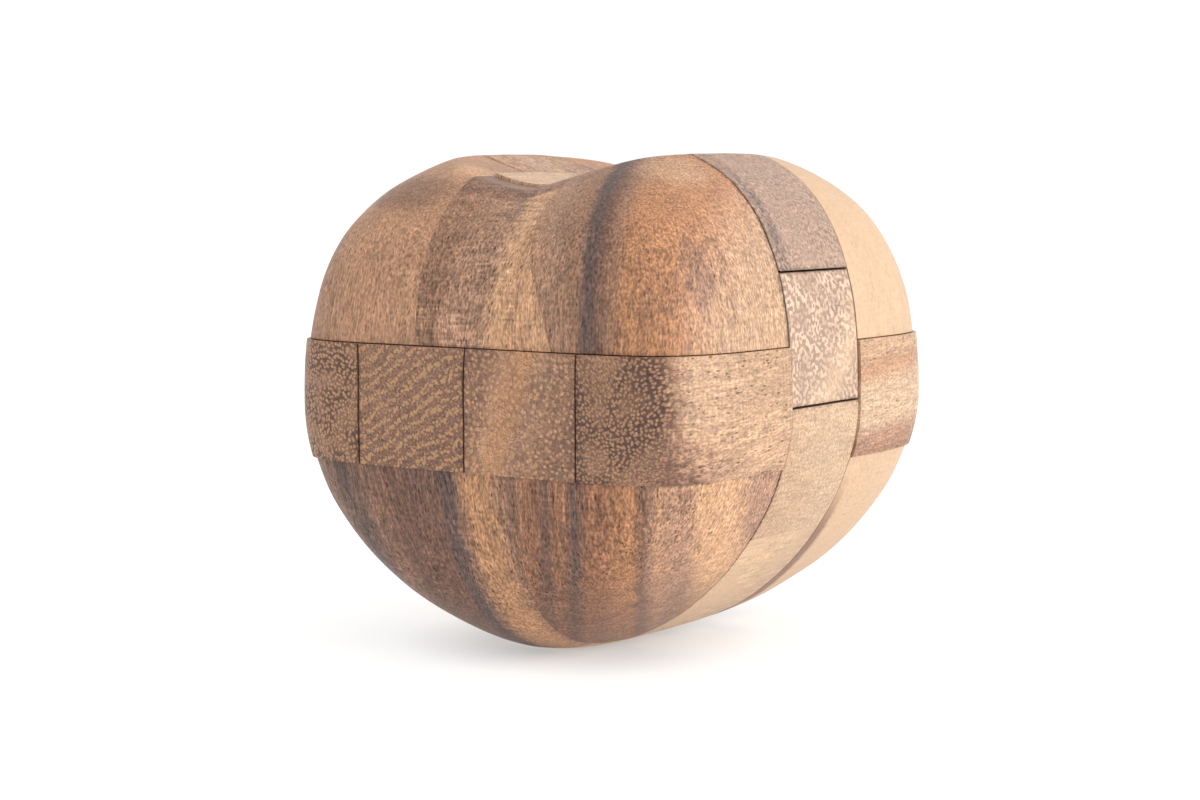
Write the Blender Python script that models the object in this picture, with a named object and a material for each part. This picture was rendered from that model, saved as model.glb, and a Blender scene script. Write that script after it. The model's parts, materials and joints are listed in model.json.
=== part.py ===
"""Heart-shaped six-piece burr puzzle, in metres, +Z up.

Six square sticks cross in pairs around one centre and lock each other. Corner, band, strap and strip
blocks are glued to them, and the whole is shaped to a heart. Every block is one object. The plain key
stick slides out along X; the rest stay together until it has gone.

Each block is a box, notched by its cutters and then trimmed by the heart's skin.
"""

import bmesh
import bpy
import numpy as np
from mathutils import Vector

OBJECT_NAME = "heart_burr_puzzle"

# Sticks
STICK = 0.022  # side of the square sticks, and the pitch of every joint line
FIT_GAP = 0.0003  # clearance between neighbouring blocks
STRIP_HALF = 0.46 * STICK  # half width, along X, of the upright sticks and the strips in front of them
STRAP_HALF = 0.51 * STICK  # half width, along Y, of the key, the stick below it and the straps
BAND_HALF = 0.455 * STICK  # half height of the front-to-back sticks and the middle band

# Heart, measured from the centre where the sticks cross
HALF_WIDTH = 0.0416
HALF_DEPTH = 0.0434
WIDEST_Z = -0.0015  # height of the widest section
LOBE_RISE = 0.0471  # height of the closed body above WIDEST_Z, before the valley is cut
POINT_DROP = 0.0417  # depth of the point below WIDEST_Z, before the foot is cut
FOOT_DROP = 0.0423  # the flat foot lies this far below the centre
LOBE_POWER = 2.8  # roundness of the outline above and below the widest section
POINT_POWER = 1.74
SIDE_EDGE, LOBE_EDGE, POINT_EDGE = 8.0, 2.8, 3.2  # squareness of the rim at the sides, top and point
SIDE_FACE, LOBE_FACE, POINT_FACE = 5.4, 1.9, 3.6  # flatness of the front and back, likewise
VALLEY_Z = 0.0355  # floor of the valley between the lobes
VALLEY_SLOPE = 0.36
VALLEY_ROUND = 0.0061  # half width of the valley's rounded floor
CREASE_ROUND = 0.0026  # softness of the crease where the valley meets the front and back
BAND_PROUD = 0.0005  # the middle band stands this far out from the rest
SKIN_SEGMENTS = 18  # along each side of the cube that is pulled out to the skin
BEYOND = 0.058  # reach of a box face that only the skin trims

CENTRE = Vector((0.0, 0.0, FOOT_DROP))

WOODS = {
    "brown": ((0.30, 0.165, 0.095), 0.5),
    "golden": ((0.40, 0.245, 0.13), 0.5),
    "dark": ((0.16, 0.095, 0.065), 0.55),
    "end_grain": ((0.235, 0.14, 0.085), 0.6),
    "pale_end_grain": ((0.52, 0.32, 0.20), 0.6),
    "grey_beige": ((0.42, 0.31, 0.21), 0.55),
    "sapwood": ((0.66, 0.46, 0.29), 0.5),
}


def clear_scene():
    for obj in list(bpy.data.objects):
        bpy.data.objects.remove(obj)


def new_collection(name):
    collection = bpy.data.collections.new(name)
    bpy.context.scene.collection.children.link(collection)
    return collection


def wood(name, tone):
    """One Principled material for one block."""
    (red, green, blue), roughness = WOODS[tone]
    material = bpy.data.materials.new(name)
    material.use_nodes = True
    shader = material.node_tree.nodes["Principled BSDF"]
    shader.inputs["Base Color"].default_value = (red, green, blue, 1.0)
    shader.inputs["Roughness"].default_value = roughness
    shader.inputs["Metallic"].default_value = 0.0
    material.diffuse_color = (red, green, blue, 1.0)
    return material


def smooth_maximum(a, b, softness):
    share = np.clip(0.5 + 0.5 * (a - b) / softness, 0.0, 1.0)
    return b + (a - b) * share + softness * share * (1.0 - share)


def heart_field(points):
    """Signed field of the heart: below 0 inside, above 0 outside. Points are from the centre."""
    x, y, z = points[:, 0], points[:, 1], points[:, 2] - WIDEST_Z
    upper = z > 0
    across = np.abs(x / HALF_WIDTH)
    upright = np.abs(z / np.where(upper, LOBE_RISE, POINT_DROP))
    power = np.where(upper, LOBE_POWER, POINT_POWER)
    vertical = upright**2 / (across**2 + upright**2 + 1e-12)
    edge = SIDE_EDGE * (1 - vertical) + np.where(upper, LOBE_EDGE, POINT_EDGE) * vertical
    face = SIDE_FACE * (1 - vertical) + np.where(upper, LOBE_FACE, POINT_FACE) * vertical
    outline = (across**power + upright**power) ** (1 / power)
    pillow = (outline**edge + np.abs(y / HALF_DEPTH) ** face) ** (2 / (edge + face)) - 1
    floor = VALLEY_Z + VALLEY_SLOPE * (np.sqrt(x**2 + VALLEY_ROUND**2) - VALLEY_ROUND)
    valley = points[:, 2] - floor
    return smooth_maximum(pillow * 2 * STICK, valley, CREASE_ROUND)


def pull_to_skin(directions, proud):
    """The point of the skin, standing proud by that much, in each direction from the centre."""
    near = np.zeros(len(directions))
    far = np.full(len(directions), 2 * BEYOND)
    for _ in range(30):
        middle = (near + far) / 2
        inside = heart_field(directions * middle[:, None]) < proud
        near = np.where(inside, middle, near)
        far = np.where(inside, far, middle)
    return directions * ((near + far) / 2)[:, None]


def mesh_object(name, build, collection):
    mesh = bpy.data.meshes.new(name)
    shape = bmesh.new()
    build(shape)
    shape.to_mesh(mesh)
    shape.free()
    obj = bpy.data.objects.new(name, mesh)
    collection.objects.link(obj)
    return obj


def make_skin(name, proud, collection, parent):
    """The whole heart as one closed cutter: a subdivided cube pulled out to the skin."""

    def build(shape):
        bmesh.ops.create_cube(shape, size=2.0)
        bmesh.ops.subdivide_edges(shape, edges=shape.edges, cuts=SKIN_SEGMENTS - 1, use_grid_fill=True)
        spread = np.tan(np.array([vertex.co for vertex in shape.verts]) * np.pi / 4)
        directions = spread / np.linalg.norm(spread, axis=1)[:, None]
        for vertex, place in zip(shape.verts, pull_to_skin(directions, proud)):
            vertex.co = place

    return as_cutter(mesh_object(name, build, collection), parent)


def as_cutter(obj, parent):
    obj.parent = parent
    obj.hide_render = True
    obj.display_type = "WIRE"
    return obj


def box_object(name, low, high, collection, parent):
    """A box between two corners, with its origin at its middle."""
    low, high = Vector(low), Vector(high)

    def build(shape):
        bmesh.ops.create_cube(shape, size=1.0)
        bmesh.ops.scale(shape, vec=high - low, verts=shape.verts)

    obj = mesh_object(name, build, collection)
    obj.parent = parent
    obj.location = (low + high) / 2
    return obj


def add_boolean(obj, operation, cutter):
    modifier = obj.modifiers.new(f"{operation.lower()}_{cutter.name}", "BOOLEAN")
    modifier.operation = operation
    modifier.solver = "EXACT"
    modifier.object = cutter


def spans(box):
    """The low and high corners of a box given as three (low, high) spans."""
    return [span[0] for span in box], [span[1] for span in box]


def side(sign, near, far):
    """The span from near to far on one side of the centre."""
    return (near, far) if sign > 0 else (-far, -near)


class Puzzle:
    """Makes the blocks and their cutters, all held by one empty at the puzzle's centre."""

    def __init__(self):
        self.blocks = new_collection(OBJECT_NAME)
        self.cutters = new_collection(OBJECT_NAME + "_cutters")
        self.centre = bpy.data.objects.new("burr_centre", None)
        self.centre.location = CENTRE
        self.blocks.objects.link(self.centre)
        self.skin = make_skin("heart_skin", 0.0, self.cutters, self.centre)
        self.band_skin = make_skin("band_skin", BAND_PROUD, self.cutters, self.centre)

    def block(self, name, tone, box, notches=(), skin=None):
        """One block: a box short of its neighbours by half the gap, notched, then trimmed to the skin."""
        half = FIT_GAP / 2
        low, high = spans(box)
        low = [edge if edge in (-BEYOND, -FOOT_DROP) else edge + half for edge in low]
        high = [edge if edge == BEYOND else edge - half for edge in high]
        obj = box_object(name, low, high, self.blocks, self.centre)
        obj.data.materials.append(wood(name, tone))
        for number, notch in enumerate(notches, 1):
            cut_low, cut_high = spans(notch)
            cut_low = [edge - half for edge in cut_low]
            cut_high = [edge + half for edge in cut_high]
            cutter = box_object(f"{name}_notch_{number}", cut_low, cut_high, self.cutters, self.centre)
            add_boolean(obj, "DIFFERENCE", as_cutter(cutter, self.centre))
        add_boolean(obj, "INTERSECT", skin or self.skin)
        return obj


ALL = (-BEYOND, BEYOND)
STRIP = (-STRIP_HALF, STRIP_HALF)
STRAP = (-STRAP_HALF, STRAP_HALF)
BAND = (-BAND_HALF, BAND_HALF)
PAST = 0.004  # how far a notch's cutter runs out past the stick


def key_and_cross_stick(puzzle):
    """The two sticks along X: the plain key above, and the one below it with a slot at each neck."""
    puzzle.block("key_stick", "pale_end_grain", (ALL, STRAP, (0.0, STICK)))
    slots = [
        (side(sign, STRIP_HALF, STICK), (-STICK, STICK), (-BAND_HALF, PAST)) for sign in (-1, 1)
    ]
    puzzle.block("lower_cross_stick", "grey_beige", (ALL, STRAP, (-STICK, 0.0)), slots)


def depth_stick(puzzle, name, sign):
    """A stick along Y. Its inner half is cut away for the uprights, and its neck is halved for the key."""
    inner = (side(sign, -PAST, STRIP_HALF), (-STICK, STICK), (-STICK, STICK))
    upper = (side(sign, -PAST, STICK + PAST), STRAP, (0.0, STICK))
    box = (side(sign, 0.0, STICK), ALL, BAND)
    puzzle.block(name, "end_grain", box, [inner, upper], puzzle.band_skin)


def upright_stick(puzzle, name, sign):
    """A stick along Z with one long notch that clears the two sticks along X."""
    notch = ((-STICK, STICK), side(sign, -PAST, STRAP_HALF), (-STICK, STICK))
    box = (STRIP, side(sign, 0.0, STICK), (-FOOT_DROP, BEYOND))
    puzzle.block(name, "golden", box, [notch])


def above_or_below(sign, near):
    """The span from near out to the skin at the top, or down to the flat foot."""
    return (near, BEYOND) if sign > 0 else (-FOOT_DROP, -near)


def corner_blocks(puzzle, names, tones):
    for (y_name, y), (x_name, x), (z_name, z) in names:
        box = (side(x, STRIP_HALF, BEYOND), side(y, STRAP_HALF, BEYOND), above_or_below(z, BAND_HALF))
        puzzle.block(f"{y_name}_{x_name}_{z_name}_corner", tones[y_name, x_name, z_name], box)


DEPTHS = (("front", -1), ("back", 1))
HANDS = (("left", -1), ("right", 1))
LEVELS = (("upper", 1), ("lower", -1))

CORNER_TONES = {
    ("front", "left", "upper"): "brown",
    ("front", "left", "lower"): "dark",
    ("front", "right", "upper"): "brown",
    ("front", "right", "lower"): "dark",
    ("back", "left", "upper"): "brown",
    ("back", "left", "lower"): "golden",
    ("back", "right", "upper"): "sapwood",
    ("back", "right", "lower"): "sapwood",
}
BAND_TONES = {
    ("front", "left"): "dark",
    ("front", "right"): "end_grain",
    ("back", "left"): "brown",
    ("back", "right"): "sapwood",
}
STRAP_TONES = {
    ("upper", "left"): "dark",
    ("upper", "right"): "dark",
    ("lower", "left"): "golden",
    ("lower", "right"): "grey_beige",
}


def band_blocks(puzzle):
    """The four blocks that fill the vertical edges of the middle band."""
    for y_name, y in DEPTHS:
        for x_name, x in HANDS:
            box = (side(x, STICK, BEYOND), side(y, STRAP_HALF, BEYOND), BAND)
            name = f"band_block_{y_name}_{x_name}"
            puzzle.block(name, BAND_TONES[y_name, x_name], box, skin=puzzle.band_skin)


def strap_blocks(puzzle):
    """The blocks over and under the ends of the sticks along X."""
    for z_name, z in LEVELS:
        for x_name, x in HANDS:
            box = (side(x, STRIP_HALF, BEYOND), STRAP, above_or_below(z, STICK))
            puzzle.block(f"strap_block_{z_name}_{x_name}", STRAP_TONES[z_name, x_name], box)


def strip_blocks(puzzle):
    """The blocks in front of and behind the uprights, above and below the band."""
    for y_name, y in DEPTHS:
        for z_name, z in LEVELS:
            box = (STRIP, side(y, STICK, BEYOND), above_or_below(z, BAND_HALF))
            puzzle.block(f"strip_block_{y_name}_{z_name}", "golden", box)


def main():
    clear_scene()
    puzzle = Puzzle()
    key_and_cross_stick(puzzle)
    for x_name, x in HANDS:
        depth_stick(puzzle, f"{x_name}_depth_stick", x)
    for y_name, y in DEPTHS:
        upright_stick(puzzle, f"{y_name}_upright_stick", y)
    octants = [(depth, hand, level) for depth in DEPTHS for hand in HANDS for level in LEVELS]
    corner_blocks(puzzle, octants, CORNER_TONES)
    band_blocks(puzzle)
    strap_blocks(puzzle)
    strip_blocks(puzzle)


main()
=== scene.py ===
"""The looks of the heart-shaped wooden burr puzzle: finely shaped blocks in solid procedural wood."""

import json
import math

import bmesh
import bpy
import numpy as np
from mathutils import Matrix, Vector


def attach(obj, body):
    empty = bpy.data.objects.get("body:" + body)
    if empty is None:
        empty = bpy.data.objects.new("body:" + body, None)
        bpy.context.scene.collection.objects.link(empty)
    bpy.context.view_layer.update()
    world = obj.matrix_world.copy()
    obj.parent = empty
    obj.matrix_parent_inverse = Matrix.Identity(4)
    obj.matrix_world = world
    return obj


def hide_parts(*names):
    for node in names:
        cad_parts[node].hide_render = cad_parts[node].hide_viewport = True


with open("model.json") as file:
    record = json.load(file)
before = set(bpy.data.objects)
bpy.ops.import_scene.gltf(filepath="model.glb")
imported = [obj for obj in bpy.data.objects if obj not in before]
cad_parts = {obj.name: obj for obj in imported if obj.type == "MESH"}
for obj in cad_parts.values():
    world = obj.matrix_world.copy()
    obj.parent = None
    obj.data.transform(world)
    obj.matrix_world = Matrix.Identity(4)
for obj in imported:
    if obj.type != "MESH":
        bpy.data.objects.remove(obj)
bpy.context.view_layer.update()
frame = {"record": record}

# ---------------------------------------------------------------- the heart, in metres from its centre

STICK = 0.022
STRIP_HALF = 0.46 * STICK
STRAP_HALF = 0.51 * STICK
BAND_HALF = 0.455 * STICK

HALF_WIDTH = 0.0416
HALF_DEPTH = 0.0434
WIDEST_Z = -0.0015
LOBE_RISE = 0.0459
POINT_DROP = 0.0417
FOOT_DROP = 0.0423
LOBE_POWER, POINT_POWER = 2.8, 1.74
SIDE_EDGE, LOBE_EDGE, POINT_EDGE = 8.0, 2.8, 3.2
SIDE_FACE, LOBE_FACE, POINT_FACE = 5.4, 1.9, 3.6
VALLEY_Z = 0.0355
VALLEY_SLOPE = 0.36
VALLEY_ROUND = 0.0061
CREASE_ROUND = 0.0008
FOOT_ROUND = 0.0012

CENTRE = Vector((0.0, 0.0, FOOT_DROP))
REACH = 0.12  # longer than any ray from inside to the skin
HALVINGS = 28  # steps of the search for the skin
SEGMENTS = 40  # along each side of a block's grid
SHARP_ANGLE = math.radians(40)
SANDED = 0.00006  # a third of the depth that sanding by hand cuts at most
PROUD_FROM_Z, PROUD_FADE = -0.03, 0.01  # below this height nothing stands proud

# How far a side stands back from its joint plane, and the width of the softened edge beside it.
WIDE, OPEN, LINE, TIGHT = 0.00026, 0.00015, 0.00006, 0.00001
ARRIS = {WIDE: 0.00040, OPEN: 0.00030, LINE: 0.00012}

OUT = None  # a side that ends at the skin


def smooth_maximum(a, b, softness):
    share = np.clip(0.5 + 0.5 * (a - b) / softness, 0.0, 1.0)
    return b + (a - b) * share + softness * share * (1.0 - share)


def hand_sanding(points):
    """How far sanding by hand has cut into the ideal skin, 0 to 0.2 mm."""
    x, y, z = points.T * 1000.0
    waves = np.sin(0.31 * x + 0.17 * z + 1.3) * np.sin(0.27 * y - 0.21 * z)
    waves += 0.6 * np.sin(0.53 * z + 0.39 * y + 0.7) * np.sin(0.47 * x - 0.3 * y + 2.1)
    return SANDED * (waves + 1.6)


def heart_field(points):
    """Signed field of the heart: below 0 inside, above 0 outside."""
    x, y, z = points[:, 0], points[:, 1], points[:, 2] - WIDEST_Z
    upper = z > 0
    across = np.abs(x / HALF_WIDTH)
    upright = np.abs(z / np.where(upper, LOBE_RISE, POINT_DROP))
    power = np.where(upper, LOBE_POWER, POINT_POWER)
    vertical = upright**2 / (across**2 + upright**2 + 1e-12)
    edge = SIDE_EDGE * (1 - vertical) + np.where(upper, LOBE_EDGE, POINT_EDGE) * vertical
    face = SIDE_FACE * (1 - vertical) + np.where(upper, LOBE_FACE, POINT_FACE) * vertical
    outline = (across**power + upright**power) ** (1 / power)
    pillow = (outline**edge + np.abs(y / HALF_DEPTH) ** face) ** (2 / (edge + face)) - 1
    floor = VALLEY_Z + VALLEY_SLOPE * (np.sqrt(x**2 + VALLEY_ROUND**2) - VALLEY_ROUND)
    body = smooth_maximum(pillow * 2 * STICK, points[:, 2] - floor, CREASE_ROUND)
    return smooth_maximum(body + hand_sanding(points), -points[:, 2] - FOOT_DROP, FOOT_ROUND)


def skin_distance(starts, directions, proud):
    """How far the skin, standing proud by that much above the foot, lies from each start."""
    near = np.zeros(len(starts))
    far = np.full(len(starts), REACH)
    for _ in range(HALVINGS):
        middle = (near + far) / 2
        places = starts + directions * middle[:, None]
        lift = proud * np.clip((places[:, 2] - PROUD_FROM_Z) / PROUD_FADE, 0.0, 1.0)
        inside = heart_field(places) < lift
        near = np.where(inside, middle, near)
        far = np.where(inside, far, middle)
    return (near + far) / 2


# ---------------------------------------------------------------- blocks


def block_points(unit, box, proud):
    """Moves the points of a cube from -1 to 1 onto a block, its OUT sides pulled out to the skin."""
    base = np.zeros_like(unit)
    reach = np.zeros_like(unit)
    for axis, (low, high) in enumerate(box):
        along = unit[:, axis]
        if low is OUT and high is OUT:
            reach[:, axis] = along
        elif high is OUT:
            base[:, axis] = low
            reach[:, axis] = (along + 1) / 2
        elif low is OUT:
            base[:, axis] = high
            reach[:, axis] = (along - 1) / 2
        else:
            base[:, axis] = low + (along + 1) / 2 * (high - low)
    share = np.abs(reach).max(axis=1)
    length = np.linalg.norm(reach, axis=1)
    directions = reach / np.maximum(length, 1e-9)[:, None]
    return base + directions * (skin_distance(base, directions, proud) * share)[:, None]


def joint_planes(box):
    """The (axis, place) of each flat side of a block."""
    return [(axis, place) for axis, span in enumerate(box) for place in span if place is not OUT]


def flatten_side(shape, axis, place):
    """Joins the small faces of one flat side into a single face, and returns it."""
    on_side = [
        face for face in shape.faces if all(abs(v.co[axis] - place) < 1e-7 for v in face.verts)
    ]
    if len(on_side) > 1:
        return bmesh.ops.dissolve_faces(shape, faces=on_side)["region"][0]
    return on_side[0]


def soften_rims(shape, sides, widths):
    """Rounds the rims that the flat sides have at the skin, the narrowest first.

    Rounding a rim remakes the sides that touch it, and a remade side keeps its sharp rim.
    """
    flats = list(zip(sides, widths))
    for width in sorted({width for width in widths if width}):
        faces = {face for face, _ in flats}
        rims = [
            edge
            for face, own_width in flats
            if own_width == width
            for edge in face.edges
            if not all(other in faces for other in edge.link_faces)
        ]
        bmesh.ops.bevel(shape, geom=rims, offset=width, segments=2, profile=0.5, affect="EDGES")
        flats = [(face, own_width) for face, own_width in flats if face.is_valid]


def cut_notch(obj, low, high):
    """Cuts a box out of a stick."""
    mesh = bpy.data.meshes.new("notch")
    shape = bmesh.new()
    bmesh.ops.create_cube(shape, size=1.0)
    size = Vector(high) - Vector(low)
    bmesh.ops.scale(shape, vec=size, verts=shape.verts)
    bmesh.ops.translate(shape, vec=(Vector(low) + Vector(high)) / 2 + CENTRE, verts=shape.verts)
    shape.to_mesh(mesh)
    shape.free()
    cutter = bpy.data.objects.new("notch", mesh)
    bpy.context.scene.collection.objects.link(cutter)
    modifier = obj.modifiers.new("notch", "BOOLEAN")
    modifier.operation = "DIFFERENCE"
    modifier.solver = "EXACT"
    modifier.object = cutter
    apply_modifiers(obj)
    bpy.data.objects.remove(cutter)


def apply_modifiers(obj):
    graph = bpy.context.evaluated_depsgraph_get()
    graph.update()
    mesh = bpy.data.meshes.new_from_object(obj.evaluated_get(graph))
    obj.modifiers.clear()
    obj.data = mesh


def make_block(node, box, insets, material, proud=0.0, notches=()):
    """One wooden block that stands for a node of the frame."""
    spans = []
    arrises = []
    for (low, high), inset in zip(box, insets):
        arrises += [ARRIS.get(gap) for place, gap in zip((low, high), inset) if place is not OUT]
        low = OUT if low is OUT else low + inset[0]
        high = OUT if high is OUT else high - inset[1]
        spans.append((low, high))
    shape = bmesh.new()
    bmesh.ops.create_cube(shape, size=2.0)
    bmesh.ops.subdivide_edges(shape, edges=shape.edges, cuts=SEGMENTS - 1, use_grid_fill=True)
    unit = np.array([vertex.co for vertex in shape.verts])
    for vertex, place in zip(shape.verts, block_points(unit, spans, proud)):
        vertex.co = place
    sides = [flatten_side(shape, axis, place) for axis, place in joint_planes(spans)]
    soften_rims(shape, sides, arrises)
    bmesh.ops.translate(shape, vec=CENTRE, verts=shape.verts)
    mesh = bpy.data.meshes.new(node + "_wood")
    shape.to_mesh(mesh)
    shape.free()
    obj = bpy.data.objects.new(node + "_wood", mesh)
    bpy.context.scene.collection.objects.link(obj)
    for low, high in notches:
        cut_notch(obj, low, high)
    obj.data.shade_smooth()
    obj.data.set_sharp_from_angle(angle=SHARP_ANGLE)
    obj.modifiers.new("flats", "WEIGHTED_NORMAL").keep_sharp = True
    obj.data.materials.clear()
    obj.data.materials.append(material)
    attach(obj, BODY_OF[node])
    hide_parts(node)
    return obj


# ---------------------------------------------------------------- wood

X, Y, Z = Vector((1, 0, 0)), Vector((0, 1, 0)), Vector((0, 0, 1))
MM_PER_METRE = 1000.0
SHEEN = 0.022  # light that a surface adds to its own colour by its sheen
# painted shade: the rims of the open joints darken towards this tone
PAINTED_RIM_SHADE = (66, 46, 38)
SEED_SHIFT = (7.3, 3.1, 11.7)  # mm between the woods of two blocks whose seeds are one apart
BUMP_DEPTH = 0.00014

# How many features a noise has per mm: across the grain, across it the other way, and along it.
RATES = {
    "wander": (0.06, 0.06, 0.02),
    "border": (0.9, 0.9, 0.12),
    "stripe": (0.5, 0.5, 0.02),
    "mottle": (0.17, 0.17, 0.06),
    "fibre": (2.1, 2.1, 0.22),
    "fine": (3.1, 3.1, 1.5),
    "speck": (1.9, 1.9, 0.4),
    "scratch_along": (2.1, 2.1, 0.16),
    "scratch_across": (0.2, 0.2, 2.3),
    "scratch_patch": (0.12, 0.12, 0.12),
    "pore_patch": (0.5, 0.5, 0.08),
    "patch": (0.2, 0.2, 0.03),
    # how ragged the edge of the painted shade on the joint rims is
    "rim_shade_edge": (0.8, 0.8, 0.8),
}

WOOD = {
    "warp": 2.0,  # how far the grain wanders, mm
    "seed": 0,
    "ragged": 0.5,  # how ragged the tones' borders are, mm
    "sheen": 0.3,
    "roughness": 0.5,
    # long grain
    "fibre": 0.38,
    "fine": 0.34,
    "mottle": 0.07,
    "figure": 0.10,  # faint stripes along the grain
    "pore_gap": 0.7,  # mm
    "pore": 0.21,  # radius, in gaps
    "pore_length": 3.0,  # in gaps
    "pore_colour": (64, 44, 36),
    "pore_dark": 0.6,
    "brush": 0.14,  # scratches along Z and across it
    # end grain
    "dot_gap": 1.1,  # mm between vessels
    "dot": 0.26,  # radius of the pale tissue round a vessel, in gaps
    "dot_colour": (190, 148, 110),
    "dot_light": 0.0,
    "dot_pore": 0.0,  # darkness of the vessel in its middle
    "belt": 0.0,  # how much the pale tissue gathers in belts
    "belt_rate": 0.5,  # belts per mm
    "belt_way": (0.0, 0.0, 1.0),
    "vein": 0.0,  # dark lines between the dots
    "vein_from": 0.45,  # patches of them cover less as this rises
    "vein_colour": (72, 60, 58),
    "worm": 0.0,  # pale winding islands
    "worm_size": 1.0,  # mm
    "worm_colour": (200, 176, 154),
    "speck": 0.14,
    # painted shade on the rims of the open joints
    "rim_shade": 0.5,
    "rim_shade_reach": 1.0,  # mm
}


def tone(colour):
    """A tone of 0 to 255 per channel, as linear light without the sheen."""
    return [max(((c / 255 + 0.055) / 1.055) ** 2.4 - SHEEN, 0.004) for c in colour] + [1.0]


class Nodes:
    """Short names for building a material's nodes."""

    def __init__(self, name):
        self.material = bpy.data.materials.new(name)
        self.material.use_nodes = True
        self.tree = self.material.node_tree
        self.shader = self.tree.nodes["Principled BSDF"]

    def add(self, kind, settings=None, inputs=None):
        node = self.tree.nodes.new(kind)
        for key, value in (settings or {}).items():
            setattr(node, key, value)
        for key, value in (inputs or {}).items():
            self.feed(node.inputs[key], value)
        return node

    def feed(self, socket, value):
        if isinstance(value, bpy.types.NodeSocket):
            self.tree.links.new(value, socket)
        else:
            socket.default_value = value

    def math(self, operation, a, b=0.0, c=0.0, clamp=False):
        node = self.add("ShaderNodeMath", {"operation": operation, "use_clamp": clamp})
        for socket, value in zip(node.inputs, (a, b, c)):
            self.feed(socket, value)
        return node.outputs[0]

    def product(self, *factors):
        total = factors[0]
        for factor in factors[1:]:
            total = self.math("MULTIPLY", total, factor)
        return total

    def invert(self, value):
        return self.math("SUBTRACT", 1.0, value)

    def vector(self, operation, a, b=(0.0, 0.0, 0.0)):
        node = self.add("ShaderNodeVectorMath", {"operation": operation}, {0: a, 1: b})
        return node.outputs["Value" if operation in ("DOT_PRODUCT", "LENGTH") else 0]

    def step(self, value, low, high):
        """0 below low, 1 above high, smooth between."""
        return self.add(
            "ShaderNodeMapRange",
            {"interpolation_type": "SMOOTHSTEP"},
            {"Value": value, "From Min": low, "From Max": high, "To Min": 0.0, "To Max": 1.0},
        ).outputs[0]

    def remap(self, value, low, high, to_low, to_high):
        return self.add(
            "ShaderNodeMapRange",
            {"clamp": True},
            {"Value": value, "From Min": low, "From Max": high, "To Min": to_low, "To Max": to_high},
        ).outputs[0]

    def noise(self, vector, rates, detail=2.0, rough=0.5, output="Fac"):
        return self.add(
            "ShaderNodeTexNoise",
            {"noise_dimensions": "3D"},
            {
                "Vector": self.vector("MULTIPLY", vector, rates),
                "Scale": 1.0,
                "Detail": detail,
                "Roughness": rough,
            },
        ).outputs[output]

    def cells(self, vector, gaps):
        """Distance to the nearest cell's middle. Two gaps make columns along the third axis."""
        rates = tuple(1 / gap for gap in gaps) + (0.0,) * (3 - len(gaps))
        return self.add(
            "ShaderNodeTexVoronoi",
            {"voronoi_dimensions": f"{len(gaps)}D"},
            {"Vector": self.vector("MULTIPLY", vector, rates), "Scale": 1.0, "Randomness": 0.9},
        ).outputs["Distance"]

    def mix(self, share, a, b, blend="MIX"):
        node = self.add("ShaderNodeMix", {"data_type": "RGBA", "blend_type": blend})
        self.feed(node.inputs["Factor"], share)
        self.feed(node.inputs["A"], a)
        self.feed(node.inputs["B"], b)
        return node.outputs["Result"]

    def blend(self, share, a, b):
        """A number share of the way from a to b."""
        inputs = {"Factor": share, "A": a, "B": b}
        return self.add("ShaderNodeMix", {"data_type": "FLOAT"}, inputs).outputs["Result"]

    def scale_light(self, colour, factor):
        grey = self.add("ShaderNodeCombineXYZ", None, {0: factor, 1: factor, 2: factor}).outputs[0]
        return self.mix(1.0, colour, grey, "MULTIPLY")

    def around(self, noise, strength):
        """Noise as a factor that varies by that share either side of 1."""
        return self.remap(noise, 0.3, 0.7, 1 - strength, 1 + strength)

    def ramp(self, value, stops):
        """A colour ramp over stops of (place, colour), the places in the value's own units."""
        low, high = stops[0][0], stops[-1][0]
        share = self.remap(value, low, high, 0.0, 1.0)
        node = self.add("ShaderNodeValToRGB", None, {"Fac": share})
        elements = node.color_ramp.elements
        while len(elements) < len(stops):
            elements.new(1.0)
        for element, (place, colour) in zip(elements, stops):
            element.position = (place - low) / (high - low)
            element.color = tone(colour)
        return node.outputs["Color"]


def add_mark(n, colour, mark, place, rag):
    """A spot, a streak or a whole side of another tone. A streak and a side are cut by planes."""
    ragged = mark.get("ragged", 0.5)
    if "spot" in mark:
        away = n.vector("DIVIDE", n.vector("SUBTRACT", place, mark["spot"]), mark["radii"])
        away = n.math("MULTIPLY_ADD", rag, ragged * 2, n.vector("LENGTH", away))
        share = n.invert(n.step(away, 0.5, 1.1))
    else:
        away = n.vector("DOT_PRODUCT", place, mark["across"])
        away = n.math("MULTIPLY_ADD", rag, ragged * 4, away)
        if "slab" in mark:
            away = n.math("ABSOLUTE", n.math("SUBTRACT", away, mark["slab"]))
            share = n.invert(n.step(away, mark["half"] * 0.4, mark["half"]))
        else:
            share = n.step(away, mark["beyond"] - mark["soft"], mark["beyond"] + mark["soft"])
    if "below" in mark:
        height = n.add("ShaderNodeSeparateXYZ", None, {0: place}).outputs[2]
        share = n.product(share, n.invert(n.step(height, mark["below"] - 8, mark["below"] + 6)))
    return n.mix(n.product(share, mark["amount"]), colour, tone(mark["colour"]))


def brush_marks(n, look, place, straight):
    """Fine scratches along Z and across it, in patches, as a factor."""
    along = n.around(n.noise(place, RATES["scratch_along"], 1.0), look["brush"])
    cross = n.around(n.noise(place, RATES["scratch_across"], 1.0), look["brush"] * 1.2)
    patch = n.step(n.noise(straight, RATES["scratch_patch"], 1.0), 0.38, 0.58)
    scratch = n.math("SUBTRACT", n.product(along, cross), 1.0)
    return n.math("ADD", n.product(scratch, patch), 1.0)


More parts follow.
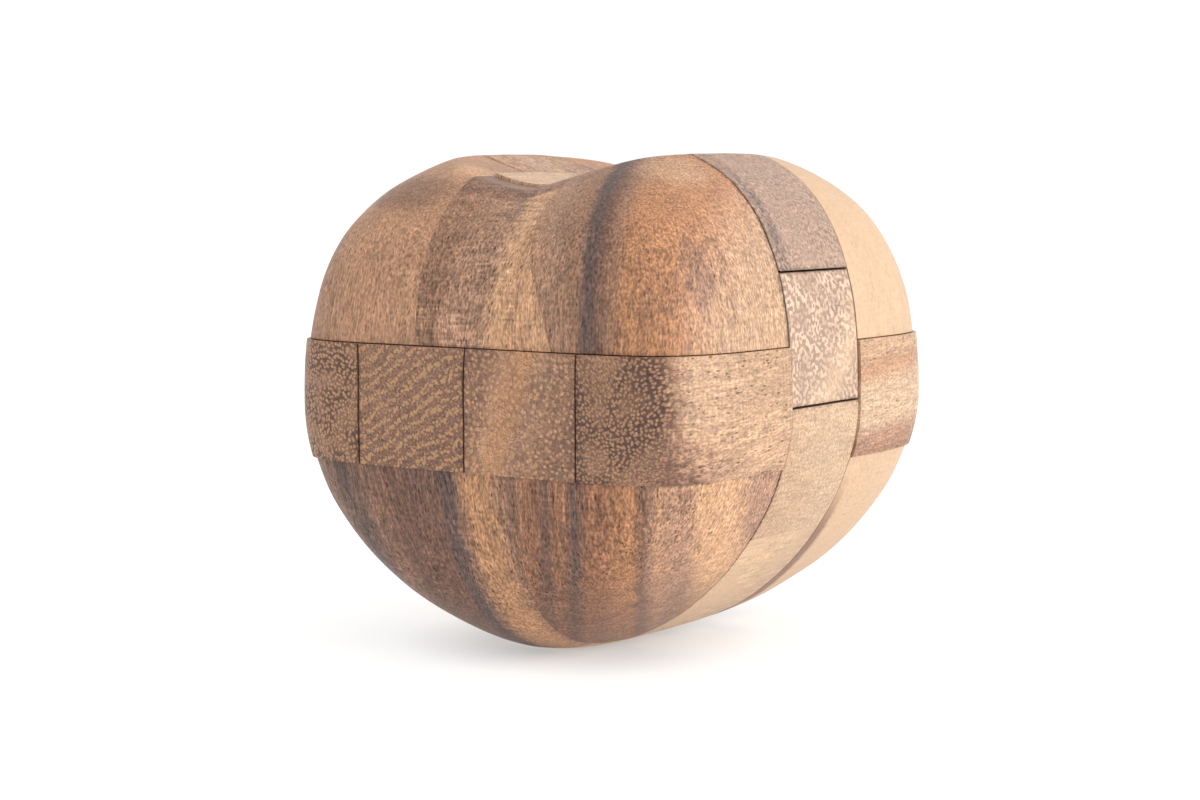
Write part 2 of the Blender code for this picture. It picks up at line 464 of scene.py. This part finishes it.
def add_vessels(n, look, colour, place, wavy, end, patch, fine, pore_patch):
    """Pale dots, dark lines between them and pits on end grain. Returns the colour and the pits."""
    cells = n.cells(wavy, (look["dot_gap"], look["dot_gap"]))
    reach = cells
    if look["belt"]:
        way = n.vector("DOT_PRODUCT", place, tuple(Vector(look["belt_way"]).normalized()))
        way = n.math("MULTIPLY_ADD", n.math("SUBTRACT", patch, 0.5), 3.0, way)
        wave = n.math("SINE", n.product(way, look["belt_rate"] * 2 * math.pi))
        reach = n.math("MULTIPLY_ADD", wave, -look["belt"], cells)
    dots = n.invert(n.step(reach, look["dot"] * 0.8, look["dot"] * 1.2))
    colour = n.mix(n.product(dots, end, look["dot_light"]), colour, tone(look["dot_colour"]))
    if look["vein"]:
        scattered = n.math("MULTIPLY_ADD", n.math("SUBTRACT", fine, 0.5), 0.5, patch)
        where = n.step(scattered, look["vein_from"], look["vein_from"] + 0.1)
        vein = n.product(n.step(cells, 0.36, 0.50), where, end, look["vein"])
        colour = n.mix(vein, colour, tone(look["vein_colour"]))
    if not look["dot_pore"]:
        return colour, None
    pit = n.product(n.invert(n.step(cells, 0.07, 0.13)), end, n.step(pore_patch, 0.45, 0.6))
    return n.mix(n.product(pit, look["dot_pore"]), colour, tone(look["pore_colour"])), pit


def add_worms(n, look, colour, wavy, end, patch):
    """Pale winding islands on end grain."""
    rate = 1 / look["worm_size"]
    winding = n.step(n.noise(wavy, (rate, rate, 0.0), 0.6, 0.5), 0.47, 0.56)
    share = n.product(winding, n.remap(patch, 0.36, 0.6, 0.35, 1.0), end, look["worm"])
    return n.mix(share, colour, tone(look["worm_colour"]))


def add_painted_rim_shade(n, look, colour, place, straight, joints):
    """Paints shade on the rims of the open joints, given as (axis, place in metres)."""
    axes = n.add("ShaderNodeSeparateXYZ", None, {0: place})
    nearest = None
    for axis, at in joints:
        away = n.math("ABSOLUTE", n.math("SUBTRACT", axes.outputs[axis], at * MM_PER_METRE))
        nearest = away if nearest is None else n.math("MINIMUM", nearest, away)
    if nearest is None:
        return colour
    reach = n.remap(
        n.noise(straight, RATES["rim_shade_edge"]), 0.35, 0.65, look["rim_shade_reach"] * 0.3, look["rim_shade_reach"]
    )
    rim = n.math("SUBTRACT", 1.0, n.math("DIVIDE", nearest, reach), clamp=True)
    return n.mix(n.product(rim, look["rim_shade"]), colour, tone(PAINTED_RIM_SHADE))


def wood(name, grain, across, tones, joints=(), marks=(), **changes):
    """Solid wood. Its fibres run along grain, and its tones are (place, colour) stops along across.

    Places are mm from the centre. Faces square to the grain show end grain, the others long grain.
    """
    look = {**WOOD, **changes}
    n = Nodes(name)
    grain = Vector(grain).normalized()
    across = Vector(across)
    across = (across - grain * across.dot(grain)).normalized()
    coords = n.add("ShaderNodeTexCoord")
    metres = n.vector("SUBTRACT", coords.outputs["Object"], tuple(CENTRE))
    place = n.vector("MULTIPLY", metres, (MM_PER_METRE,) * 3)
    turned = [
        n.vector("DOT_PRODUCT", place, tuple(axis)) for axis in (across, grain.cross(across), grain)
    ]
    straight = n.add("ShaderNodeCombineXYZ", None, dict(enumerate(turned))).outputs[0]
    straight = n.vector("ADD", straight, tuple(look["seed"] * shift for shift in SEED_SHIFT))
    wander = n.noise(straight, RATES["wander"], 1.0, 0.4, "Color")
    wander = n.vector("SUBTRACT", wander, (0.5, 0.5, 0.5))
    wavy = n.vector("ADD", straight, n.vector("MULTIPLY", wander, (look["warp"] * 2,) * 3))

    facing = n.math("ABSOLUTE", n.vector("DOT_PRODUCT", coords.outputs["Normal"], tuple(grain)))
    end = n.step(facing, 0.50, 0.80)

    rag = n.math("SUBTRACT", n.noise(wavy, RATES["border"], 3.0, 0.65), 0.5)
    colour = n.ramp(n.math("MULTIPLY_ADD", rag, look["ragged"] * 5, turned[0]), tones)
    for mark in marks:
        colour = add_mark(n, colour, mark, place, rag)

    stripe = n.noise(wavy, RATES["stripe"], 3.0, 0.65)
    mottle = n.noise(wavy, RATES["mottle"], 2.0)
    fibre = n.noise(wavy, RATES["fibre"], 1.6, 0.75)
    fine = n.noise(wavy, RATES["fine"], 0.6, 0.7)
    light = n.product(
        n.around(stripe, look["figure"]),
        n.around(mottle, look["mottle"]),
        n.around(fine, look["fine"]),
        n.blend(end, n.around(fibre, look["fibre"]), 1.0),
    )
    paleness = n.add("ShaderNodeRGBToBW", None, {0: colour}).outputs[0]
    calm = n.remap(paleness, 0.22, 0.46, 1.0, 0.55)  # pale wood varies less
    light = n.math("MULTIPLY_ADD", n.math("SUBTRACT", light, 1.0), calm, 1.0)
    light = n.product(light, brush_marks(n, look, place, straight))
    colour = n.scale_light(colour, light)

    gap = look["pore_gap"]
    tubes = n.cells(wavy, (gap, gap, gap * look["pore_length"]))
    pore_patch = n.noise(wavy, RATES["pore_patch"], 1.0)
    pore = n.product(
        n.invert(n.step(tubes, look["pore"] * 0.75, look["pore"] * 1.2)),
        n.remap(pore_patch, 0.36, 0.56, 0.15, 1.0),
        n.invert(end),
    )
    colour = n.mix(n.product(pore, look["pore_dark"]), colour, tone(look["pore_colour"]))

    patch = n.noise(wavy, RATES["patch"], 1.0)
    pit = None
    if look["dot_light"] or look["vein"]:
        colour, pit = add_vessels(n, look, colour, place, wavy, end, patch, fine, pore_patch)
    if look["worm"]:
        colour = add_worms(n, look, colour, wavy, end, patch)
    speck = n.around(n.noise(wavy, RATES["speck"], 2.0, 0.7), look["speck"])
    colour = n.scale_light(colour, n.blend(end, 1.0, speck))
    # painted shade on the rims of the open joints
    colour = add_painted_rim_shade(n, look, colour, place, straight, joints)

    rough = n.remap(mottle, 0.3, 0.7, look["roughness"] - 0.06, look["roughness"] + 0.06)
    rough = n.math("MULTIPLY_ADD", pore, 0.2, rough, clamp=True)
    height = n.math("MULTIPLY_ADD", fibre, 0.35, n.product(fine, 0.25))
    height = n.math("MULTIPLY_ADD", pore, -0.8, height)
    if pit is not None:
        height = n.math("MULTIPLY_ADD", pit, -0.8, height)
    bump = n.add("ShaderNodeBump", None, {"Strength": 0.6, "Distance": BUMP_DEPTH, "Height": height})
    n.feed(n.shader.inputs["Base Color"], colour)
    n.feed(n.shader.inputs["Roughness"], rough)
    n.feed(n.shader.inputs["Normal"], bump.outputs[0])
    n.shader.inputs["Specular IOR Level"].default_value = look["sheen"]
    return n.material


# ---------------------------------------------------------------- the puzzle's blocks

BODY_OF = {
    node: body for body, nodes in frame["record"]["behaviour"]["bodies"].items() for node in nodes
}
STRIP = (-STRIP_HALF, STRIP_HALF)
STRAP = (-STRAP_HALF, STRAP_HALF)
BAND = (-BAND_HALF, BAND_HALF)
THROUGH = (OUT, OUT)
PAST = 0.003  # how far a notch's cutter reaches past the stick


def side_of(sign, near, far=OUT):
    """The span from near to far on one side of the centre."""
    if sign > 0:
        return (near, far)
    return (OUT if far is OUT else -far, -near)


def both(inset):
    return (inset, inset)


NO_INSET = both(0.0)


def open_joints(box, insets):
    """The (axis, place) of the joints that stand open, whose rims get painted shade."""
    found = []
    for axis, (span, inset) in enumerate(zip(box, insets)):
        found += [(axis, at) for at, gap in zip(span, inset) if at is not OUT and gap >= OPEN]
    return found


# The tones of these woods, 0 to 255 per channel, from the darkest streaks to the sapwood.
INK = (104, 87, 81)
UMBER = (121, 93, 81)
COCOA = (136, 105, 89)
BARK = (148, 114, 94)
RUST = (151, 109, 86)
ORANGE = (168, 123, 93)
GREY_TAN = (161, 126, 105)
ASH = (157, 131, 115)
TAN = (174, 134, 107)
GOLD = (178, 134, 102)
PEACH = (180, 147, 120)
HONEY = (196, 154, 120)
BEIGE = (186, 157, 131)
CREAM = (197, 166, 137)

STREAKY = dict(fibre=0.42, fine=0.36, figure=0.18, pore_dark=0.65)
SAPWOOD = dict(
    fibre=0.10, fine=0.08, figure=0.05, mottle=0.04, pore_length=4.0, pore_dark=0.18,
    pore_colour=(120, 88, 66), speck=0.06, brush=0.04,
)
BACK_WOOD = dict(ragged=0.9, figure=0.15, pore_length=4.0)

# Each block's wood. Tones are (place, tone) stops across the grain, in mm from the centre.
LOOKS = {
    "front_left_upper_corner": dict(
        grain=(0.10, 0.0, 1.0), across=(1.0, 0.35, 0.0), seed=1,
        tones=[(-50, BARK), (-40, TAN), (-26, TAN), (-10, GREY_TAN)],
        marks=[
            dict(spot=(-19, -34, 35), radii=(10, 7, 4.5), colour=COCOA, amount=0.8),
            dict(spot=(-12, -24, 38), radii=(5, 6, 6), colour=HONEY, amount=0.7),
        ],
        fibre=0.32, fine=0.30, pore_dark=0.5, brush=0.04,
    ),
    "strip_block_front_upper": dict(
        grain=(0.03, 0.0, 1.0), across=X, seed=2,
        tones=[(-10, BARK), (-7, BARK), (-5, GREY_TAN), (2, GREY_TAN), (5, HONEY), (7, HONEY), (9, TAN)],
        marks=[dict(across=Y, beyond=-31, soft=0.15, colour=COCOA, amount=0.8, ragged=0.15)],
        **{**STREAKY, "pore": 0.22, "brush": 0.24},
    ),
    "front_right_upper_corner": dict(
        grain=Z, across=(1.0, 0.31, 0.054), seed=3,
        tones=[
            (-2, TAN), (3, GREY_TAN), (8, BARK), (9.2, INK), (10.4, INK), (11.5, UMBER), (13.5, BARK),
            (16, ORANGE), (24, ORANGE), (27, TAN), (31, PEACH), (37, PEACH),
        ],
        marks=[
            dict(across=(-1, 0, -0.42), beyond=-21.9, soft=0.7, colour=HONEY, amount=0.7),
            dict(across=(1, 0, 0.42), slab=21.9, half=0.5, colour=UMBER, amount=0.5, ragged=1.0),
            dict(across=(1, 0.1, 0.36), slab=23.6, half=0.35, colour=UMBER, amount=0.35, ragged=1.5),
            dict(spot=(36.8, -31.5, 24), radii=(4, 4.2, 9), colour=COCOA, amount=0.75, ragged=1.6),
            dict(spot=(37, -26, 22), radii=(4, 1.6, 7), colour=BARK, amount=0.5, ragged=1.6),
            dict(spot=(31, -38, 15), radii=(5, 4, 9), colour=UMBER, amount=0.4, ragged=2.0),
            dict(spot=(28, -22, 40), radii=(9, 10, 5), colour=PEACH, amount=0.7),
        ],
        # strong painted shade on the rims of the open joints here
        fibre=0.34, fine=0.36, pore_dark=0.45, brush=0.10, rim_shade=1.0, rim_shade_reach=1.5,
    ),
    "band_block_front_left": dict(
        grain=Y, across=(1.0, 0.0, 0.3), seed=4, tones=[(-42, COCOA), (-34, BARK), (-20, BARK)],
        dot_gap=0.72, dot=0.26, dot_light=0.7, dot_pore=0.5, vein=0.7, vein_from=0.42, speck=0.26,
    ),
    "left_depth_stick": dict(
        grain=Y, across=(0.57, 0.0, -0.82), seed=5, tones=[(-24, COCOA), (-8, COCOA), (14, UMBER)],
        dot_gap=0.66, dot=0.30, dot_light=0.72, belt=0.2, belt_way=(-0.5, 0.0, 0.86), speck=0.22,
    ),
    "right_depth_stick": dict(
        grain=Y, across=(0.93, 0.0, -0.36), seed=6,
        tones=[(-3, COCOA), (2, BARK), (5, TAN), (8.5, GOLD), (12, GREY_TAN), (16, BARK), (20, COCOA)],
        dot_gap=1.05, dot=0.23, dot_light=0.8, dot_colour=HONEY, dot_pore=0.6, vein=0.3, vein_from=0.5,
        speck=0.22,
    ),
    "band_block_front_right": dict(
        grain=(0.0, 1.0, 0.10), across=(1.0, 0.0, 0.12), seed=7,
        tones=[(21, COCOA), (29, BARK), (33, COCOA), (36.5, UMBER), (38.2, GREY_TAN), (40, PEACH)],
        ragged=1.8, dot_gap=0.62, dot=0.28, dot_light=0.5, dot_pore=0.3, vein=0.7, vein_from=0.44,
        speck=0.28, fibre=0.26, figure=0.16,
    ),
    "strap_block_upper_right": dict(
        grain=(1.0, 0.0, 0.25), across=(0.1, 1.0, 0.0), seed=8,
        tones=[(-12, ASH), (-9.3, INK), (-7, ASH), (12, ASH)],
        marks=[dict(across=Z, beyond=38, soft=3, colour=GREY_TAN, amount=0.7)],
        # painted shade on the rims of the open joints here
        rim_shade=0.7, worm=0.45, worm_size=0.7, worm_colour=(194, 166, 144), dot_gap=0.6, vein=0.45,
        vein_from=0.42, vein_colour=UMBER, speck=0.22, sheen=0.4, roughness=0.42,
    ),
    "key_stick": dict(
        grain=X, across=(0.0, 1.0, -0.9), seed=9,
        tones=[(-24, ASH), (-6, ASH), (0, BEIGE), (5, ASH), (14, ASH)],
        worm=0.9, worm_size=0.85, worm_colour=(206, 180, 156), speck=0.12, fine=0.16, figure=0.04,
        mottle=0.04,
    ),
    "lower_cross_stick": dict(
        grain=X, across=(0.0, 1.0, 0.3), seed=10, tones=[(-14, PEACH), (0, BEIGE), (14, BEIGE)],
        dot_gap=0.62, dot=0.28, dot_light=0.3, dot_colour=(206, 182, 154), dot_pore=0.3,
        worm=0.25, worm_size=0.7, worm_colour=ASH, speck=0.15, figure=0.04, mottle=0.05,
    ),
    "strap_block_lower_right": dict(
        grain=(0.6, 0.0, -0.8), across=Y, seed=11, tones=[(-12, CREAM), (0, CREAM), (12, BEIGE)],
        fibre=0.12, fine=0.10, figure=0.05, pore_dark=0.2, speck=0.08,
        worm=0.15, worm_size=0.7, worm_colour=PEACH,
    ),
    "back_right_upper_corner": dict(
        grain=(0.0, 0.06, 1.0), across=(0.2, 1.0, 0.0), seed=12,
        tones=[(8, CREAM), (34, CREAM), (48, BEIGE)], **SAPWOOD,
    ),
    "band_block_back_right": dict(
        grain=(0.0, 1.0, 0.05), across=(0.1, 0.0, 1.0), seed=13,
        tones=[(-11, COCOA), (-6, BARK), (-3.5, GREY_TAN), (-1, BEIGE), (5, BEIGE), (8, TAN), (11, PEACH)],
        ragged=0.35, fibre=0.18, figure=0.12, pore_length=5.0, pore_dark=0.35, dot_light=0.3,
    ),
    "back_right_lower_corner": dict(
        grain=Z, across=(0.0, 1.0, 0.05), seed=14, tones=[(10, CREAM), (34, CREAM), (48, BEIGE)],
        marks=[dict(across=(0, 1, 0.06), slab=10.6, half=3.0, colour=COCOA, amount=1.0, below=-17)],
        **SAPWOOD,
    ),
    "front_left_lower_corner": dict(
        grain=(0.35, 0.05, -1.0), across=(1.0, 0.30, 0.35), seed=15,
        tones=[
            (-50, UMBER), (-44, COCOA), (-39, INK), (-35, COCOA), (-31, UMBER), (-27, UMBER),
            (-22, INK), (-14, UMBER), (-6, INK),
        ],
        ragged=1.0, pore_length=4.0, pore_colour=(56, 44, 40), **{**STREAKY, "figure": 0.26},
    ),
    "strip_block_front_lower": dict(
        grain=(-0.15, 0.0, 1.0), across=(1.0, 0.0, 0.15), seed=16,
        tones=[(-12, UMBER), (-8, UMBER), (-6.5, INK), (-5, INK), (-3.4, BARK), (-1, GOLD), (2.5, GOLD),
               (5, BARK), (7.5, COCOA)],
        ragged=0.8, pore=0.22, pore_length=2.5, brush=0.18, **STREAKY,
    ),
    "front_right_lower_corner": dict(
        grain=Z, across=(0.82, 0.57, 0.0), seed=17,
        tones=[
            (-17, BARK), (-14, RUST), (-12, UMBER), (-11, UMBER), (-9.5, RUST), (-7, INK), (-5, RUST),
            (-2.5, RUST), (-0.5, ORANGE), (2, ORANGE), (3.5, UMBER), (5, GREY_TAN), (6, TAN),
            (8, GREY_TAN), (10.5, GREY_TAN), (13, HONEY), (17, HONEY), (22, GREY_TAN),
        ],
        # darker towards the foot: partly the wood's own tone, partly painted shade near the contact
        marks=[dict(across=(0, 0, -1), beyond=29, soft=5, colour=UMBER, amount=0.5, ragged=2.5)],
        ragged=0.8, **STREAKY,
    ),
    "front_upright_stick": dict(
        grain=Z, across=X, seed=18, tones=[(-12, CREAM), (0, (208, 172, 140)), (12, CREAM)],
        dot_light=0.35, dot_colour=BEIGE, dot_gap=0.8, worm=0.2, worm_colour=GREY_TAN,
    ),
    "back_upright_stick": dict(
        grain=Z, across=X, seed=19, tones=[(-12, TAN), (0, PEACH), (12, GREY_TAN)],
        dot_light=0.35, dot_gap=0.8, worm=0.2, worm_colour=COCOA,
    ),
    "back_left_upper_corner": dict(
        grain=(0.05, 0.05, 1.0), across=(1.0, -0.4, 0.0), seed=20,
        tones=[(-56, BARK), (-46, ORANGE), (-40, BARK), (-34, TAN), (-24, GOLD), (-14, GREY_TAN)],
        **BACK_WOOD,
    ),
    "back_left_lower_corner": dict(
        grain=(0.1, -0.05, -1.0), across=(1.0, -0.3, 0.1), seed=21,
        tones=[(-56, COCOA), (-44, GREY_TAN), (-38, UMBER), (-35, GREY_TAN), (-26, ORANGE), (-20, UMBER),
               (-8, GREY_TAN)],
        **BACK_WOOD,
    ),
    "band_block_back_left": dict(
        grain=Y, across=(0.3, 0.0, 1.0), seed=22, tones=[(-14, COCOA), (0, BARK), (14, COCOA)],
        dot=0.27, dot_light=0.7, belt=0.15, belt_way=Z, speck=0.16,
    ),
    "strap_block_upper_left": dict(
        grain=(1.0, 0.0, -0.2), across=Y, seed=23, tones=[(-12, TAN), (0, PEACH), (12, GREY_TAN)],
        dot_gap=1.0, dot=0.28, dot_light=0.6, vein=0.4, vein_from=0.5, speck=0.16,
    ),
    "strap_block_lower_left": dict(
        grain=(0.5, 0.0, 0.85), across=Y, seed=24, tones=[(-12, GREY_TAN), (0, TAN), (12, BARK)],
        figure=0.12, pore_length=4.0,
    ),
    "strip_block_back_upper": dict(
        grain=Z, across=X, seed=25,
        tones=[(-10, BARK), (-3, ORANGE), (-1.5, UMBER), (5, GOLD), (10, BARK)],
        brush=0.16, **STREAKY,
    ),
    "strip_block_back_lower": dict(
        grain=Z, across=X, seed=26, tones=[(-10, COCOA), (0, GREY_TAN), (4, UMBER), (10, COCOA)],
        brush=0.10, **STREAKY,
    ),
}

# How far a block stands out of the heart, in metres.
PROUD = {
    "band_block_front_left": 0.0005,
    "left_depth_stick": 0.0004,
    "right_depth_stick": 0.0004,
    "band_block_front_right": 0.00045,
    "band_block_back_right": 0.0005,
    "band_block_back_left": 0.0004,
    "front_upright_stick": 0.0006,
    "back_upright_stick": 0.0004,
}


def add_block(node, box, insets, notches=()):
    material = wood(node + "_look", joints=open_joints(box, insets), **LOOKS[node])
    make_block(node, box, insets, material, PROUD.get(node, 0.0), notches)


def key_and_cross_stick():
    add_block("key_stick", (THROUGH, STRAP, (0.0, STICK)), (NO_INSET, both(OPEN), both(OPEN)))
    slots = []
    for sign in (-1, 1):
        near, far = side_of(sign, STRIP_HALF - OPEN, STICK + OPEN)
        slots.append(((near, -STICK, -BAND_HALF - OPEN), (far, STICK, PAST)))
    insets = (NO_INSET, (OPEN, LINE), (TIGHT, OPEN))
    add_block("lower_cross_stick", (THROUGH, STRAP, (-STICK, 0.0)), insets, slots)


def depth_sticks():
    for name, sign in (("left_depth_stick", -1), ("right_depth_stick", 1)):
        near, far = side_of(sign, -PAST, STRIP_HALF + OPEN)
        inner = ((near, -STICK - OPEN, -STICK), (far, STICK + OPEN, STICK))
        near, far = side_of(sign, -PAST, STICK + PAST)
        upper = ((near, -STRAP_HALF - OPEN, -OPEN), (far, STRAP_HALF + OPEN, STICK))
        box = (side_of(sign, 0.0, STICK), THROUGH, BAND)
        add_block(name, box, (both(OPEN), NO_INSET, (TIGHT, LINE)), [inner, upper])


def upright_sticks():
    for name, sign in (("front_upright_stick", -1), ("back_upright_stick", 1)):
        near, far = side_of(sign, -PAST, STRAP_HALF + OPEN)
        notch = ((-STICK, near, -STICK - OPEN), (STICK, far, STICK + OPEN))
        box = (STRIP, side_of(sign, 0.0, STICK), THROUGH)
        add_block(name, box, (both(LINE), both(LINE), NO_INSET), [notch])


def corner_blocks():
    for y_name, y in (("front", -1), ("back", 1)):
        for x_name, x in (("left", -1), ("right", 1)):
            for z_name, z in (("upper", 1), ("lower", -1)):
                box = (side_of(x, STRIP_HALF), side_of(y, STRAP_HALF), side_of(z, BAND_HALF))
                strap_side = (WIDE if z > 0 else OPEN) if y < 0 else LINE
                insets = (both(TIGHT), both(strap_side), both(LINE if z > 0 else TIGHT))
                add_block(f"{y_name}_{x_name}_{z_name}_corner", box, insets)


def band_blocks():
    for y_name, y in (("front", -1), ("back", 1)):
        for x_name, x in (("left", -1), ("right", 1)):
            box = (side_of(x, STICK), side_of(y, STRAP_HALF), BAND)
            strap_side = OPEN if y < 0 else LINE
            below = LINE if (x_name, y_name) == ("right", "front") else TIGHT
            insets = (both(OPEN), both(strap_side), (below, LINE))
            add_block(f"band_block_{y_name}_{x_name}", box, insets)


def strap_blocks():
    for z_name, z in (("upper", 1), ("lower", -1)):
        for x_name, x in (("left", -1), ("right", 1)):
            box = (side_of(x, STRIP_HALF), STRAP, side_of(z, STICK))
            inner = OPEN if z > 0 else TIGHT
            insets = (both(TIGHT), (WIDE if z > 0 else LINE, LINE), both(inner))
            add_block(f"strap_block_{z_name}_{x_name}", box, insets)


def strip_blocks():
    for y_name, y in (("front", -1), ("back", 1)):
        for z_name, z in (("upper", 1), ("lower", -1)):
            box = (STRIP, side_of(y, STICK), side_of(z, BAND_HALF))
            insets = (both(TIGHT), both(LINE), both(LINE if z > 0 else TIGHT))
            add_block(f"strip_block_{y_name}_{z_name}", box, insets)


# ---------------------------------------------------------------- floor, light and camera

LENS_MM = 72.0
CAMERA_AZIMUTH = 35.035
CAMERA_PITCH = 5.303
CAMERA_DISTANCE = 19.061 * STICK
CAMERA_RIGHT = -0.147 * STICK
CAMERA_UP = -0.071 * STICK
SKY_STRENGTH = 1.05
FLOOR_HALF = 4.0
FOOT_PLACE = (0.0, -0.01, 0.0)
# painted contact shadow: the table's glow fades near the foot, from the far glow down to the near one
PAINTED_SHADOW_REACH = (0.004, 0.032)  # the table glows less this near the foot, in metres
GLOW_WITH_PAINTED_SHADOW = (0.32, 0.62)


def add_floor():
    mesh = bpy.data.meshes.new("floor")
    shape = bmesh.new()
    bmesh.ops.create_grid(shape, x_segments=2, y_segments=2, size=FLOOR_HALF)
    shape.to_mesh(mesh)
    shape.free()
    floor = bpy.data.objects.new("floor", mesh)
    bpy.context.scene.collection.objects.link(floor)
    n = Nodes("pale_floor")
    place = n.add("ShaderNodeTexCoord").outputs["Object"]
    grain = n.noise(place, (40.0,) * 3)
    colour = n.mix(grain, (0.44, 0.44, 0.437, 1.0), (0.46, 0.46, 0.457, 1.0))
    n.feed(n.shader.inputs["Base Color"], colour)
    away = n.vector("LENGTH", n.vector("SUBTRACT", place, FOOT_PLACE))
    # the glow drops near the foot, a painted contact shadow on the table
    n.feed(n.shader.inputs["Emission Strength"], n.remap(away, *PAINTED_SHADOW_REACH, *GLOW_WITH_PAINTED_SHADOW))
    n.shader.inputs["Emission Color"].default_value = (1.0, 1.0, 1.0, 1.0)
    n.shader.inputs["Roughness"].default_value = 0.6
    n.shader.inputs["Specular IOR Level"].default_value = 0.1
    mesh.materials.append(n.material)


def add_area_light(name, place, size, power, colour):
    light = bpy.data.lights.new(name, "AREA")
    light.shape = "SQUARE"
    light.size = size
    light.energy = power
    light.color = colour
    obj = bpy.data.objects.new(name, light)
    bpy.context.scene.collection.objects.link(obj)
    obj.location = place
    obj.rotation_mode = "QUATERNION"
    obj.rotation_quaternion = (CENTRE - Vector(place)).to_track_quat("-Z", "Y")


def add_lights():
    world = bpy.data.worlds.new("white_studio")
    world.use_nodes = True
    background = world.node_tree.nodes["Background"]
    background.inputs["Color"].default_value = (1.0, 1.0, 1.0, 1.0)
    background.inputs["Strength"].default_value = SKY_STRENGTH
    bpy.context.scene.world = world
    add_area_light(
        "right_window", place=(0.90, 0.22, 0.22), size=0.70, power=8.7, colour=(1.0, 0.985, 0.965)
    )
    bpy.context.scene.view_settings.view_transform = "Standard"


def add_camera():
    azimuth, pitch = math.radians(CAMERA_AZIMUTH), math.radians(CAMERA_PITCH)
    ahead = Vector(
        (-math.sin(azimuth) * math.cos(pitch), math.cos(azimuth) * math.cos(pitch), -math.sin(pitch))
    )
    right = Vector((math.cos(azimuth), math.sin(azimuth), 0.0))
    up = right.cross(ahead)
    data = bpy.data.cameras.new("camera")
    data.lens = LENS_MM
    data.sensor_width = 36.0
    camera = bpy.data.objects.new("camera", data)
    bpy.context.scene.collection.objects.link(camera)
    camera.location = CENTRE - ahead * CAMERA_DISTANCE + right * CAMERA_RIGHT + up * CAMERA_UP
    camera.rotation_mode = "QUATERNION"
    camera.rotation_quaternion = ahead.to_track_quat("-Z", "Y")
    data.clip_start = 0.01
    bpy.context.scene.camera = camera


for obj in [o for o in bpy.data.objects if o.type in ("LIGHT", "CAMERA")]:
    bpy.data.objects.remove(obj)
key_and_cross_stick()
depth_sticks()
upright_sticks()
corner_blocks()
band_blocks()
strap_blocks()
strip_blocks()
add_floor()
add_lights()
add_camera()
